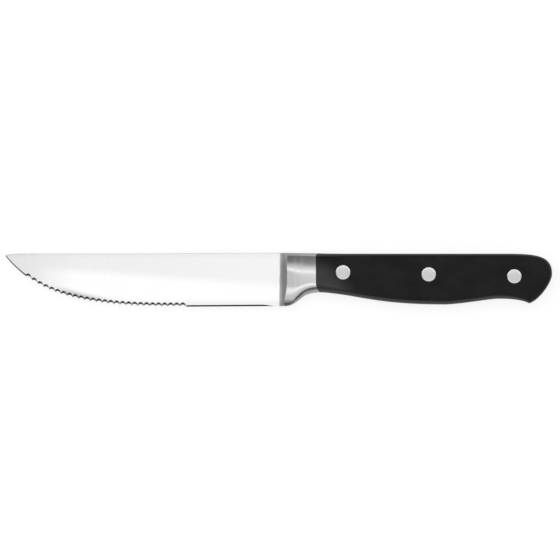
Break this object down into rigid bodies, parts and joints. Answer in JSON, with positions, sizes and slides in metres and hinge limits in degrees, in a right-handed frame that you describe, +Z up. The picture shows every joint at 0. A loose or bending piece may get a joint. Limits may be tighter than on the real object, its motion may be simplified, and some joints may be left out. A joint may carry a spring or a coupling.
{
  "type": "steak knife",
  "caption": "Forged steak knife lying on its side: scalloped blade with an integral bolster and full tang, black riveted handle scales.",
  "frame": {"origin": "on the table under the middle of the knife's outline, with the knife lying on the flat of its handle", "axes": "+X from the tip to the butt, +Y from the edge to the spine, +Z up, out of the show side"},
  "size_m": [0.2484, 0.0244, 0.014],
  "materials": {
    "blade_steel": "satin stainless steel, brushed across the blade",
    "handle_plastic": "black acetal with a fine satin surface",
    "rivet_steel": "stainless steel, ground flush with the handle"
  },
  "bodies": {
    "root": {"forged_blade": "blade_steel", "scale_upper": "handle_plastic", "scale_lower": "handle_plastic", "rivet_front_post": "rivet_steel", "rivet_middle_post": "rivet_steel", "rivet_rear_post": "rivet_steel", "rivet_front_sleeve": "rivet_steel", "rivet_middle_sleeve": "rivet_steel", "rivet_rear_sleeve": "rivet_steel"}
  },
  "joints": []
}
